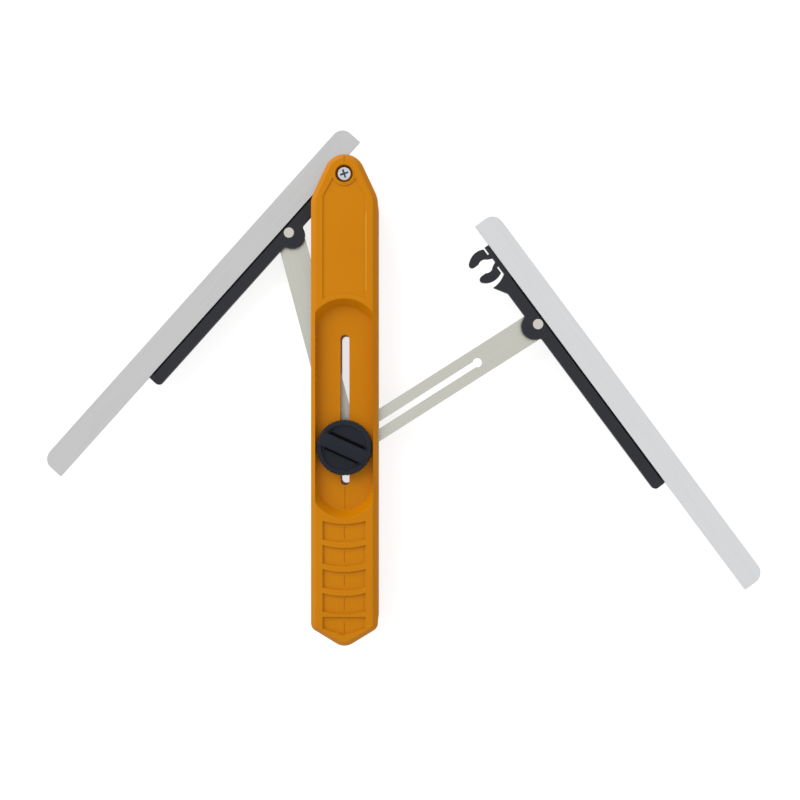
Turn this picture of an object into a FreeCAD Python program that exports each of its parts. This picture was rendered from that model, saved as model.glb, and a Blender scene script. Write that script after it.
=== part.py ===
import FreeCAD, Part
import math
import os
import Sketcher

# Angle finder with two ruler arms, in millimetres.
# It lies on its back: z = 0 is the casing's back, the front faces +Z, and the
# arms' pivot is the origin. +Y runs up the casing, +X to its right.

doc = FreeCAD.newDocument("angle_finder")
sheet = doc.addObject("Spreadsheet::Sheet", "sizes")

SIZES = {
    # Casing
    "casing_width": 36.0,
    "cap_radius": 11.0,
    "cap_taper": 25.0,
    "shoulder_radius": 14.0,
    "side_end": 244.0,
    "foot_tip": 255.0,
    "foot_corner_radius": 4.5,
    "foot_tip_radius": 8.0,
    "back_thickness": 9.0,
    "arm_gap": 8.0,
    "front_thickness": 9.0,
    "front_chamfer": 2.7,
    "back_chamfer": 1.5,
    "gap_end": 242.3,
    # Slot and knob recess
    "slot_width": 4.9,
    "slot_top": 88.9,
    "slot_bottom": 164.6,
    "slot_end_play": 0.6,
    "recess_width": 31.0,
    "recess_depth": 6.0,
    "recess_top": 66.9,
    "recess_top_radius": 19.8,
    "recess_bottom": 184.7,
    "recess_bottom_radius": 18.4,
    "recess_slope": 3.6,
    "head_channel_width": 9.6,
    "head_channel_depth": 4.6,
    # Sunk panel below the pivot
    "panel_width": 23.0,
    "panel_depth": 0.5,
    "panel_shoulder": 12.0,
    "panel_bottom": 64.9,
    "panel_bottom_radius": 28.7,
    "panel_ring_radius": 6.4,
    # Grip pockets
    "grip_width": 23.0,
    "grip_height": 9.9,
    "grip_pitch": 12.85,
    "grip_top": 186.1,
    "grip_count": 4,
    "grip_depth": 1.2,
    "grip_arc_radius": 42.0,
    "grip_last_side": 6.3,
    "grip_last_tip": 9.9,
    # Pivot
    "pivot_post_diameter": 7.7,
    "pivot_screw_diameter": 4.0,
    "pivot_head_diameter": 8.0,
    "pivot_head_height": 2.5,
    "pivot_bore_diameter": 9.4,
    "pivot_bore_depth": 3.3,
    "nut_width": 7.0,
    "nut_height": 3.2,
    "nut_pocket_depth": 3.4,
    "pivot_hole_depth": 7.5,
    # Foot screw
    "foot_screw_place": 246.2,
    "foot_screw_diameter": 2.6,
    "foot_screw_length": 19.0,
    "foot_head_diameter": 5.4,
    "foot_head_height": 2.0,
    "foot_bore_depth": 3.0,
    # Arms
    "arm_lift": 0.2,
    "link_thickness": 1.0,
    "layer_gap": 0.2,
    "carrier_thickness": 2.5,
    "flange_thickness": 0.9,
    "ruler_thickness": 1.4,
    "ruler_length": 247.6,
    "ruler_width": 13.6,
    "ruler_corner_radius": 6.5,
    "ruler_start": 20.9,
    "ruler_offset": 8.2,
    "strip_width": 7.3,
    "strip_end": 153.5,
    "strip_corner_radius": 2.2,
    "spine_width": 2.5,
    "spine_start": 8.5,
    "flange_width": 8.0,
    "flange_start": 14.0,
    "edge_groove_width": 1.1,
    "edge_groove_depth": 0.7,
    "hook_radius": 9.2,
    "hook_mouth": 6.2,
    "hook_slit_width": 1.2,
    "hook_slit_start": 4.2,
    "hook_relief_width": 6.0,
    "hook_tip_radius": 1.9,
    "spur_gap": 1.7,
    "spur_tip_along": 11.9,
    "spur_tip_out": -3.7,
    "spur_end": 19.4,
    "lug_radius": 7.4,
    "lug_offset": 1.8,
    "lug_blend": 1.5,
    "rivet_along": 42.5,
    "rivet_out": 4.0,
    "rivet_diameter": 3.2,
    "rivet_head_diameter": 5.8,
    "rivet_head_height": 0.9,
    "stud_diameter": 2.4,
    "stud_depth": 0.8,
    "stud_first": 26.0,
    "stud_pitch": 55.0,
    "stud_count": 3,
    # Links
    "link_width": 15.2,
    "link_reach": 122.0,
    "link_slot_width": 3.3,
    "link_slot_start": 39.0,
    "link_slot_end": 125.4,
    "link_eye_diameter": 5.1,
    "link_tail": 8.0,
    # Clamp
    "bolt_diameter": 3.0,
    "bolt_head_diameter": 8.6,
    "bolt_head_height": 2.3,
    "bolt_head_rise": 1.3,
    "washer_diameter": 8.6,
    "washer_thickness": 0.8,
    "spacer_diameter": 9.0,
    "stack_play": 0.1,
    "knob_diameter": 29.8,
    "knob_rim_height": 5.0,
    "knob_lift": 0.6,
    "knob_bar_width": 7.3,
    "knob_bar_height": 3.0,
    "knob_bar_sink": 1.6,
    "knob_bar_round": 0.7,
    "knob_edge_round": 0.8,
    "knob_angle": 24.5,
    "knob_dish_radius": 12.4,
    "knob_insert_diameter": 5.6,
    "knob_insert_height": 4.0,
    "knob_notch_diameter": 1.0,
    "knob_notch_count": 40,
    # Fits
    "running_play": 0.05,
    "assembly_play": 0.1,
    # Pose in which the tool is stored
    "left_arm_angle": 41.84,
    "right_arm_angle": 36.65,
    "right_hook_across": 76.8,
    "right_hook_down": 48.1,
}


class Size:
    """A number together with the expression that gives it from the sheet."""

    def __init__(self, value, text):
        self.value = float(value)
        self.text = text

    def join(self, other, sign, result):
        return Size(result, "(%s %s %s)" % (self.text, sign, as_size(other).text))

    def __add__(self, other):
        return self.join(other, "+", self.value + as_size(other).value)

    def __sub__(self, other):
        return self.join(other, "-", self.value - as_size(other).value)

    def __mul__(self, other):
        return self.join(other, "*", self.value * as_size(other).value)

    def __truediv__(self, other):
        return self.join(other, "/", self.value / as_size(other).value)

    def __neg__(self):
        return as_size(0) - self

    def root(self):
        return Size(math.sqrt(self.value), "sqrt(%s)" % self.text)

    def sine(self):
        return Size(math.sin(math.radians(self.value)), "sin(%s)" % self.text)

    def cosine(self):
        return Size(math.cos(math.radians(self.value)), "cos(%s)" % self.text)


def as_size(value):
    if isinstance(value, Size):
        return value
    return Size(value, repr(float(value)))


def size(name):
    return Size(SIZES[name], "sizes." + name)


def half(name):
    return size(name) / 2


for row, (name, number) in enumerate(SIZES.items(), start=1):
    sheet.set("A%d" % row, name)
    sheet.set("B%d" % row, str(number))
    sheet.setAlias("B%d" % row, name)
doc.recompute()


# Sketching helpers

def origin_feature(body, role):
    return [item for item in body.Origin.OriginFeatures if item.Role == role][0]


def new_body(label):
    body = doc.addObject("PartDesign::Body", label)
    body.Label = label
    return body


def new_sketch(body, name, height):
    sketch = body.newObject("Sketcher::SketchObject", body.Label + "_" + name)
    sketch.AttachmentSupport = [(origin_feature(body, "XY_Plane"), "")]
    sketch.MapMode = "FlatFace"
    sketch.setExpression("AttachmentOffset.Base.z", as_size(height).text)
    return sketch


def bind(sketch, constraint, amount):
    number = sketch.addConstraint(constraint)
    sketch.setExpression("Constraints[%d]" % number, amount.text)


def pin_along(sketch, item, end, axis, kind, amount):
    amount = as_size(amount)
    if amount.value == 0.0:
        sketch.addConstraint(Sketcher.Constraint("PointOnObject", item, end, axis))
    else:
        bind(sketch, Sketcher.Constraint(kind, -1, 1, item, end, amount.value), amount)


def pin_point(sketch, item, end, across, up):
    pin_along(sketch, item, end, -2, "DistanceX", across)
    pin_along(sketch, item, end, -1, "DistanceY", up)


def bind_arc(sketch, item, start, finish, corner):
    """Fix an arc's radius, or a half circle's centre, which lies between its ends."""
    radius = as_size(corner[2])
    plain = radius if radius.value > 0 else -radius
    if abs((finish - start).Length / 2 - plain.value) > 1e-6:
        bind(sketch, Sketcher.Constraint("Radius", item, plain.value), plain)
    elif abs(finish.y - start.y) < 1e-6:
        pin_along(sketch, item, 3, -1, "DistanceY", corner[1])
    else:
        pin_along(sketch, item, 3, -2, "DistanceX", corner[0])


def arc_between(start, finish, radius):
    """The arc from start to finish; a positive radius turns left, a negative one right."""
    across = (finish - start) * 0.5
    reach = math.sqrt(max(radius * radius - across.Length ** 2, 0.0))
    left = FreeCAD.Vector(-across.y, across.x, 0).normalize()
    centre = start + across + left * (reach if radius > 0 else -reach)
    first, last = (start, finish) if radius > 0 else (finish, start)
    begin = math.atan2(first.y - centre.y, first.x - centre.x)
    end = math.atan2(last.y - centre.y, last.x - centre.x)
    circle = Part.Circle(centre, FreeCAD.Vector(0, 0, 1), abs(radius))
    return Part.ArcOfCircle(circle, begin, end if end > begin else end + 2 * math.pi)


def draw_profile(sketch, corners):
    """Closed outline. A corner is (x, y), or (x, y, radius) when an arc leaves it."""
    spots = [FreeCAD.Vector(as_size(c[0]).value, as_size(c[1]).value, 0) for c in corners]
    ends = []
    for place, corner in enumerate(corners):
        start = spots[place]
        finish = spots[(place + 1) % len(spots)]
        if len(corner) == 2:
            item = sketch.addGeometry(Part.LineSegment(start, finish), False)
            ends.append((item, 1, 2))
            continue
        radius = as_size(corner[2])
        item = sketch.addGeometry(arc_between(start, finish, radius.value), False)
        ends.append((item, 1, 2) if radius.value > 0 else (item, 2, 1))
        bind_arc(sketch, item, start, finish, corner)
    for place, corner in enumerate(corners):
        item, first, _ = ends[place]
        before, _, last = ends[place - 1]
        sketch.addConstraint(Sketcher.Constraint("Coincident", before, last, item, first))
        pin_point(sketch, item, first, corner[0], corner[1])


def draw_circle(sketch, across, up, radius):
    centre = FreeCAD.Vector(as_size(across).value, as_size(up).value, 0)
    item = sketch.addGeometry(Part.Circle(centre, FreeCAD.Vector(0, 0, 1), radius.value), False)
    bind(sketch, Sketcher.Constraint("Radius", item, radius.value), radius)
    pin_point(sketch, item, 3, across, up)


def draw_box(sketch, left, low, right, high):
    draw_profile(sketch, [(left, low), (right, low), (right, high), (left, high)])


def pad(body, sketch, length):
    feature = body.newObject("PartDesign::Pad", sketch.Name + "_pad")
    feature.Profile = sketch
    feature.setExpression("Length", as_size(length).text)
    doc.recompute()
    return feature


def pocket(body, sketch, depth, upward=False):
    """Cut down from the sketch, or up where upward is set, and make sure that it cuts."""
    before = body.Shape.Volume
    feature = body.newObject("PartDesign::Pocket", sketch.Name + "_cut")
    feature.Profile = sketch
    feature.Reversed = upward
    feature.setExpression("Length", as_size(depth).text)
    doc.recompute()
    if body.Shape.Volume > before - 1e-3:
        raise RuntimeError(feature.Name + " cuts nothing")
    return feature


def edges_where(shape, test):
    return ["Edge%d" % (n + 1) for n, edge in enumerate(shape.Edges) if test(edge)]


def upright_edges(shape, spots, reach=0.4):
    """Edges along Z whose place is within reach of one of the (x, y) spots."""
    def test(edge):
        low, high = edge.Vertexes[0].Point, edge.Vertexes[-1].Point
        if math.hypot(low.x - high.x, low.y - high.y) > 1e-6:
            return False
        return any(math.hypot(low.x - x, low.y - y) < reach for x, y in spots)
    return edges_where(shape, test)


def soften(body, kind, name, edges, amount):
    """A fillet or chamfer on the named edges of the body's last feature."""
    base = body.Tip
    feature = body.newObject("PartDesign::" + kind, body.Label + "_" + name)
    feature.Base = (base, edges)
    feature.setExpression("Radius" if kind == "Fillet" else "Size", amount.text)
    doc.recompute()
    if "Invalid" in feature.State:
        raise RuntimeError(feature.Name + " fails")
    return feature


def cylinder(name, radius, height, across, up, low):
    solid = doc.addObject("Part::Cylinder", name)
    solid.setExpression("Radius", as_size(radius).text)
    solid.setExpression("Height", as_size(height).text)
    place(solid, across, up, low)
    return solid


def place(thing, across, up, low):
    for axis, amount in (("x", across), ("y", up), ("z", low)):
        thing.setExpression("Placement.Base." + axis, as_size(amount).text)


def block(name, width, depth, height, across, up, low):
    """A box centred on (across, up), standing on low."""
    solid = doc.addObject("Part::Box", name)
    for side, amount in (("Length", width), ("Width", depth), ("Height", height)):
        solid.setExpression(side, as_size(amount).text)
    place(solid, as_size(across) - width / 2, as_size(up) - depth / 2, low)
    return solid


def fuse(label, *solids):
    joined = doc.addObject("Part::MultiFuse", label)
    joined.Label = label
    joined.Shapes = list(solids)
    return joined


def cut(label, solid, tool):
    result = doc.addObject("Part::Cut", label)
    result.Label = label
    result.Base = solid
    result.Tool = tool
    return result


# Heights of the layers, from the back up

gap_floor = size("back_thickness")
gap_roof = gap_floor + size("arm_gap")
front_face = gap_roof + size("front_thickness")
left_link_floor = gap_floor + size("arm_lift")
left_arm_floor = left_link_floor + size("link_thickness") + size("layer_gap")
left_arm_roof = left_arm_floor + size("carrier_thickness")
right_link_floor = left_arm_roof + size("layer_gap")
right_arm_floor = right_link_floor + size("link_thickness") + size("layer_gap")
recess_floor = front_face - size("recess_depth")

# Places at rest, from the closed triangle of the pivot, the left rivet and the bolt

rivet_turn = math.degrees(math.atan2(SIZES["rivet_out"], SIZES["rivet_along"]))
crank = math.hypot(SIZES["rivet_out"], SIZES["rivet_along"])
crank_angle = math.radians(SIZES["left_arm_angle"] + rivet_turn)
left_rivet = FreeCAD.Vector(-crank * math.sin(crank_angle), -crank * math.cos(crank_angle), 0)
drop = math.sqrt(SIZES["link_reach"] ** 2 - left_rivet.x ** 2)
bolt_place = FreeCAD.Vector(0, left_rivet.y - drop, 0)
left_arm_pose = FreeCAD.Placement(
    FreeCAD.Vector(0, 0, 0),
    FreeCAD.Rotation(FreeCAD.Vector(0, 0, 1), -90 - SIZES["left_arm_angle"]))
right_arm_pose = FreeCAD.Placement(
    FreeCAD.Vector(SIZES["right_hook_across"], -SIZES["right_hook_down"], 0),
    FreeCAD.Rotation(FreeCAD.Vector(0, 0, 1), SIZES["right_arm_angle"] - 90))
right_rivet = right_arm_pose.multVec(FreeCAD.Vector(SIZES["rivet_along"], SIZES["rivet_out"], 0))


# Casing shells

def casing_blank(label, low, height):
    """The casing's outline, blended at its shoulders and foot."""
    width = half("casing_width")
    cap_x = size("cap_radius") * size("cap_taper").cosine()
    cap_y = size("cap_radius") * size("cap_taper").sine()
    fall = (width - cap_x) / size("cap_taper").sine() * size("cap_taper").cosine()
    shoulder = cap_y - fall
    body = new_body(label)
    sketch = new_sketch(body, "outline", low)
    draw_profile(sketch, [
        (cap_x, cap_y, size("cap_radius")),
        (-cap_x, cap_y),
        (-width, shoulder),
        (-width, -size("side_end")),
        (0, -size("foot_tip")),
        (width, -size("side_end")),
        (width, shoulder)])
    pad(body, sketch, height)
    rounds = [
        ("shoulders", shoulder.value, width.value, "shoulder_radius"),
        ("corners", -SIZES["side_end"], width.value, "foot_corner_radius"),
        ("tip", -SIZES["foot_tip"], 0.0, "foot_tip_radius")]
    for name, up, across, radius in rounds:
        edges = upright_edges(body.Shape, [(across, up), (-across, up)])
        soften(body, "Fillet", name, edges, size(radius))
    return body


def face_edges(shape, height):
    return edges_where(shape, lambda edge: all(
        abs(point.z - height) < 1e-6 for point in (edge.BoundBox.getPoint(0), edge.BoundBox.getPoint(6))))


def slot_profile(sketch, half_width, top, bottom):
    """An upright slot with round ends about the points top and bottom on the centre line."""
    draw_profile(sketch, [
        (half_width, top, half_width), (-half_width, top),
        (-half_width, bottom, half_width), (half_width, bottom)])


slot_top = -(size("slot_top") - size("slot_end_play"))
slot_bottom = -(size("slot_bottom") + size("slot_end_play"))


def build_front_shell():
    body = casing_blank("front_shell_blank", gap_roof, size("front_thickness"))
    soften(body, "Chamfer", "bevel", face_edges(body.Shape, front_face.value), size("front_chamfer"))

    bore = new_sketch(body, "pivot_bore", front_face)
    draw_circle(bore, 0, 0, half("pivot_bore_diameter"))
    pocket(body, bore, size("pivot_bore_depth"))
    hole = new_sketch(body, "pivot_hole", front_face)
    draw_circle(hole, 0, 0, half("pivot_screw_diameter") + size("assembly_play"))
    pocket(body, hole, size("front_thickness"))

    # The sunk panel goes round the pivot's ring and ends in an arc beside the recess.
    ring = size("panel_ring_radius")
    panel = new_sketch(body, "panel", front_face)
    side = half("panel_width")
    draw_profile(panel, [
        (-(ring * 0.94), -(ring * 0.34)),
        (-side, -size("panel_shoulder")),
        (-side, -(size("panel_bottom") + side * side / size("panel_bottom_radius") / 2),
         -size("panel_bottom_radius")),
        (side, -(size("panel_bottom") + side * side / size("panel_bottom_radius") / 2)),
        (side, -size("panel_shoulder")),
        (ring * 0.94, -(ring * 0.34), -ring)])
    pocket(body, panel, size("panel_depth"))

    slot = new_sketch(body, "slot", front_face)
    slot_profile(slot, half("slot_width"), slot_top, slot_bottom)
    pocket(body, slot, size("front_thickness"))

    # Grip pockets, each with curved top and bottom edges, down to the pointed last one
    grip = new_sketch(body, "grip", front_face)
    side = half("grip_width")
    draw_profile(grip, [
        (-side, -size("grip_top")),
        (-side, -(size("grip_top") + size("grip_height")), size("grip_arc_radius")),
        (side, -(size("grip_top") + size("grip_height"))),
        (side, -size("grip_top"), -size("grip_arc_radius"))])
    first = pocket(body, grip, size("grip_depth"))
    pattern = body.newObject("PartDesign::LinearPattern", "grip_rows")
    pattern.Originals = [first]
    pattern.Direction = (origin_feature(body, "Y_Axis"), [""])
    pattern.Reversed = True
    pattern.setExpression("Length", (size("grip_pitch") * (size("grip_count") - 1)).text)
    pattern.setExpression("Occurrences", size("grip_count").text)
    body.Tip = pattern
    doc.recompute()
    last = new_sketch(body, "last_grip", front_face)
    top = size("grip_top") + size("grip_pitch") * size("grip_count")
    draw_profile(last, [
        (-side, -top),
        (-side, -(top + size("grip_last_side"))),
        (0, -(top + size("grip_last_tip"))),
        (side, -(top + size("grip_last_side"))),
        (side, -top)])
    pocket(body, last, size("grip_depth"))

    screw = new_sketch(body, "foot_screw_hole", gap_roof)
    draw_circle(screw, 0, -size("foot_screw_place"), half("foot_screw_diameter") + size("assembly_play"))
    reach = size("foot_bore_depth") + size("foot_screw_length") - gap_roof + size("assembly_play")
    pocket(body, screw, reach, upward=True)

    # The knob's recess: straight sides, and ends that slope down like a cone
    def end_cone(name, radius, centre):
        cone = doc.addObject("Part::Cone", name)
        cone.setExpression("Radius1", (radius - size("recess_slope")).text)
        cone.setExpression("Radius2", radius.text)
        cone.setExpression("Height", size("recess_depth").text)
        place(cone, 0, centre, recess_floor)
        return cone

    high = -(size("recess_top") + size("recess_top_radius"))
    low = -(size("recess_bottom") - size("recess_bottom_radius"))
    ends = fuse(
        "recess_ends",
        end_cone("recess_top_end", size("recess_top_radius"), high),
        end_cone("recess_bottom_end", size("recess_bottom_radius"), low),
        block("recess_middle", size("recess_width"), high - low, size("recess_depth"),
              0, (high + low) / 2, recess_floor))
    sides = block("recess_sides", size("recess_width"), size("foot_tip"), size("recess_depth"),
                  0, -half("foot_tip"), recess_floor)
    tool = doc.addObject("Part::Common", "recess")
    tool.Base = ends
    tool.Tool = sides
    return cut("front_shell", body, tool)


def build_back_shell():
    body = casing_blank("back_shell", 0, gap_roof)
    soften(body, "Chamfer", "bevel", face_edges(body.Shape, 0.0), size("back_chamfer"))
    gap = new_sketch(body, "arm_gap", gap_roof)
    wide = size("casing_width")
    draw_box(gap, -wide, -size("gap_end"), wide, size("cap_radius") * 2)
    pocket(body, gap, size("arm_gap"))

    channel = new_sketch(body, "head_channel", 0)
    grow = half("head_channel_width")
    slot_profile(channel, grow, slot_top, slot_bottom)
    pocket(body, channel, size("head_channel_depth"), upward=True)
    slot = new_sketch(body, "slot", 0)
    slot_profile(slot, half("slot_width"), slot_top, slot_bottom)
    pocket(body, slot, size("back_thickness"), upward=True)

    hole = new_sketch(body, "pivot_hole", gap_floor)
    draw_circle(hole, 0, 0, half("pivot_screw_diameter") + size("assembly_play"))
    pocket(body, hole, size("pivot_hole_depth"))
    flat = half("nut_width") + size("assembly_play")
    corner = flat * 2 / math.sqrt(3)
    seat = new_sketch(body, "nut_pocket", gap_floor)
    draw_profile(seat, [
        (corner, 0), (corner / 2, flat), (-(corner / 2), flat),
        (-corner, 0), (-(corner / 2), -flat), (corner / 2, -flat)])
    pocket(body, seat, size("nut_pocket_depth"))

    for name, radius, depth in (
            ("foot_bore", half("foot_head_diameter") + size("assembly_play"), size("foot_bore_depth")),
            ("foot_hole", half("foot_screw_diameter") + size("assembly_play"), gap_roof)):
        sketch = new_sketch(body, name, 0)
        draw_circle(sketch, 0, -size("foot_screw_place"), radius)
        pocket(body, sketch, depth, upward=True)
    return body


# Pivot and fasteners

def build_pivot():
    tall = size("arm_gap")
    sleeve = cylinder("post_outside", half("pivot_post_diameter"), tall, 0, 0, gap_floor)
    bore = cylinder("post_bore", half("pivot_screw_diameter") + size("assembly_play"),
                    tall, 0, 0, gap_floor)
    post = cut("pivot_post", sleeve, bore)

    seat = front_face - size("pivot_bore_depth")
    nut_low = gap_floor - size("nut_pocket_depth")
    shank_low = gap_floor - size("pivot_hole_depth") + size("assembly_play")
    shank = cylinder("pivot_shank", half("pivot_screw_diameter"), seat - shank_low, 0, 0, shank_low)
    head = cylinder("pivot_head", half("pivot_head_diameter"), size("pivot_head_height"), 0, 0, seat)
    dome = doc.addObject("Part::Fillet", "pivot_head_dome")
    dome.Base = head
    doc.recompute()
    rim = [int(name[4:]) for name in edges_where(
        head.Shape, lambda edge: abs(edge.BoundBox.ZMin - edge.BoundBox.ZMax) < 1e-6
        and edge.BoundBox.ZMin > seat.value + 0.1)]
    round_off = SIZES["pivot_head_height"] * 0.5
    dome.Edges = [(number, round_off, round_off) for number in rim]
    arm_long = half("pivot_head_diameter") * 1.2
    arm_wide = half("pivot_head_diameter") * 0.24
    deep = size("pivot_head_height") * 0.6
    top = seat + size("pivot_head_height") - deep
    cross = fuse(
        "pivot_cross",
        block("cross_wide", arm_long, arm_wide, deep, 0, 0, top),
        block("cross_tall", arm_wide, arm_long, deep, 0, 0, top))
    screw = cut("pivot_screw", fuse("pivot_screw_solid", shank, dome), cross)

    hexagon = doc.addObject("Part::Prism", "nut_hexagon")
    hexagon.Polygon = 6
    hexagon.setExpression("Circumradius", (size("nut_width") / math.sqrt(3)).text)
    hexagon.setExpression("Height", size("nut_height").text)
    place(hexagon, 0, 0, nut_low)
    nut_bore = cylinder("nut_bore", half("pivot_screw_diameter") + size("running_play"),
                        size("nut_height"), 0, 0, nut_low)
    nut = cut("pivot_nut", hexagon, nut_bore)
    return [post, screw, nut]


def build_foot_screw():
    up = -size("foot_screw_place")
    head_low = size("foot_bore_depth") - size("foot_head_height")
    head = cylinder("foot_head", half("foot_head_diameter"), size("foot_head_height"), 0, up, head_low)
    shank = cylinder("foot_shank", half("foot_screw_diameter"), size("foot_screw_length"),
                     0, up, size("foot_bore_depth"))
    wide = half("foot_head_diameter")
    deep = half("foot_head_height")
    cross = fuse(
        "foot_cross",
        block("foot_cross_wide", wide, wide / 5, deep, 0, up, head_low),
        block("foot_cross_tall", wide / 5, wide, deep, 0, up, head_low))
    return cut("foot_screw", fuse("foot_screw_solid", head, shank), cross)


# Arms: u runs along the arm from the hook's seat, v outwards to the ruler.
# side is +1 on the right arm and -1 on the left one, which is its mirror image.

def clipped_disc(sketch, along, out, radius, top, side):
    """A disc whose part beyond v = top is cut off by a straight chord."""
    rise = as_size(top) - out
    run = (radius * radius - rise * rise).root()
    draw_profile(sketch, [
        (as_size(along) - run, as_size(top) * side, radius * side),
        (as_size(along), (as_size(out) - radius) * side, radius * side),
        (as_size(along) + run, as_size(top) * side)])


def stud_places():
    return [size("stud_first") + size("stud_pitch") * n for n in range(int(SIZES["stud_count"]))]


def build_carrier(label, side, low, pose):
    body = new_body(label)
    high = low + size("carrier_thickness")
    edge = size("ruler_offset")
    inner = edge - size("strip_width")
    spine = edge - size("spine_width")
    seat = half("pivot_post_diameter") + size("running_play")

    plan = new_sketch(body, "plan", low)
    spur = size("hook_radius") + size("spur_gap")
    spur_foot = (spur * spur - spine * spine).root()
    draw_profile(plan, [
        (-size("spine_start"), spine * side),
        (spur_foot, spine * side, -(spur * 1.35) * side),
        (size("spur_tip_along"), size("spur_tip_out") * side),
        (size("spur_end"), inner * side),
        (size("strip_end"), inner * side),
        (size("strip_end"), edge * side),
        (-size("spine_start"), edge * side)])
    pad(body, plan, size("carrier_thickness"))
    end_corner = [(SIZES["strip_end"], inner.value * side)]
    soften(body, "Fillet", "end", upright_edges(body.Shape, end_corner), size("strip_corner_radius"))

    lug = new_sketch(body, "lug", low)
    lug_out = size("rivet_out") - size("lug_offset")
    clipped_disc(lug, size("rivet_along"), lug_out, size("lug_radius"), lug_out + 3, side)
    pad(body, lug, size("carrier_thickness"))
    bow = math.sqrt(SIZES["lug_radius"] ** 2 - (lug_out.value - inner.value) ** 2)
    roots = [(SIZES["rivet_along"] + way * bow, inner.value * side) for way in (-1, 1)]
    soften(body, "Fillet", "lug_blend", upright_edges(body.Shape, roots), size("lug_blend"))

    jaws = new_sketch(body, "jaws", low)
    clipped_disc(jaws, 0, 0, size("hook_radius"), spine, side)
    pad(body, jaws, size("carrier_thickness"))

    flange = new_sketch(body, "flange", low)
    draw_box(flange, size("flange_start"), (edge - size("edge_groove_width")) * side,
             size("strip_end") - size("strip_corner_radius"), (edge + size("flange_width")) * side)
    pad(body, flange, size("flange_thickness"))

    opening = new_sketch(body, "seat", high)
    draw_circle(opening, 0, 0, seat)
    pocket(body, opening, size("carrier_thickness"))
    relief = new_sketch(body, "relief", high)
    reach = half("hook_relief_width")
    draw_profile(relief, [
        (-reach, (seat * 0.5) * side), (reach, (seat * 0.5) * side),
        (reach * 0.4, spine * side), (-(reach * 0.4), spine * side)])
    pocket(body, relief, size("carrier_thickness"))
    mouth = new_sketch(body, "mouth", high)
    gape = half("hook_mouth")
    draw_box(mouth, -gape, -(size("hook_radius") * 1.2) * side, gape, -(seat * 0.3) * side)
    pocket(body, mouth, size("carrier_thickness"))
    for name, way in (("upper_slit", -1), ("lower_slit", 1)):
        slit = new_sketch(body, name, high)
        draw_box(slit, size("hook_slit_start") * way, (spine - size("hook_slit_width")) * side,
                 spur_foot * way, spine * side)
        pocket(body, slit, size("carrier_thickness"))
    lip = math.sqrt(SIZES["hook_radius"] ** 2 - gape.value ** 2)
    tips = [(way * gape.value, -lip * side) for way in (-1, 1)]
    soften(body, "Fillet", "tips", upright_edges(body.Shape, tips), size("hook_tip_radius"))

    groove = new_sketch(body, "edge_groove", high)
    draw_box(groove, -size("spine_start"), (edge - size("edge_groove_width")) * side,
             size("strip_end"), edge * side)
    pocket(body, groove, size("edge_groove_depth"))

    rivet = new_sketch(body, "rivet_hole", high)
    draw_circle(rivet, size("rivet_along"), size("rivet_out") * side, half("rivet_diameter"))
    pocket(body, rivet, size("carrier_thickness"))
    sink = new_sketch(body, "rivet_sink", high)
    draw_circle(sink, size("rivet_along"), size("rivet_out") * side, half("rivet_head_diameter"))
    pocket(body, sink, size("rivet_head_height"))

    studs = new_sketch(body, "stud_holes", low + size("flange_thickness"))
    for along in stud_places():
        draw_circle(studs, along, (edge + half("flange_width")) * side, half("stud_diameter"))
    pocket(body, studs, size("flange_thickness"))
    body.Placement = pose
    return body


def build_ruler(label, side, low, pose):
    body = new_body(label)
    bottom = low + size("flange_thickness")
    edge = size("ruler_offset")
    start = -size("ruler_start")
    finish = start + size("ruler_length")
    outer = edge + size("ruler_width")
    blade = new_sketch(body, "blade", bottom)
    draw_box(blade, start, edge * side, finish, outer * side)
    pad(body, blade, size("ruler_thickness"))
    corners = [(start.value, outer.value * side), (finish.value, outer.value * side)]
    soften(body, "Fillet", "corners", upright_edges(body.Shape, corners), size("ruler_corner_radius"))
    studs = new_sketch(body, "stud_holes", bottom)
    for along in stud_places():
        draw_circle(studs, along, (edge + half("flange_width")) * side, half("stud_diameter"))
    pocket(body, studs, size("stud_depth"), upward=True)
    body.Placement = pose
    return body


def build_studs(label, side, low, pose):
    """The short studs that hold the ruler on the carrier's flange."""
    tall = size("flange_thickness") + size("stud_depth")
    pins = []
    for number, along in enumerate(stud_places()):
        pins.append(cylinder(
            "%s_%d" % (label, number), half("stud_diameter"), tall,
            along, (size("ruler_offset") + half("flange_width")) * side, low))
    group = fuse(label, *pins)
    group.Placement = pose
    return group


def build_rivet(label, spot, shank_low, head_top):
    """Flat-headed rivet, its head flush with the carrier's face at head_top."""
    tall = head_top - shank_low
    shank = cylinder(label + "_shank", half("rivet_diameter") - size("running_play"),
                     tall, spot.x, spot.y, shank_low)
    head = cylinder(label + "_head", half("rivet_head_diameter") - size("running_play"),
                    size("rivet_head_height"), spot.x, spot.y, head_top - size("rivet_head_height"))
    return fuse(label, shank, head)


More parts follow.
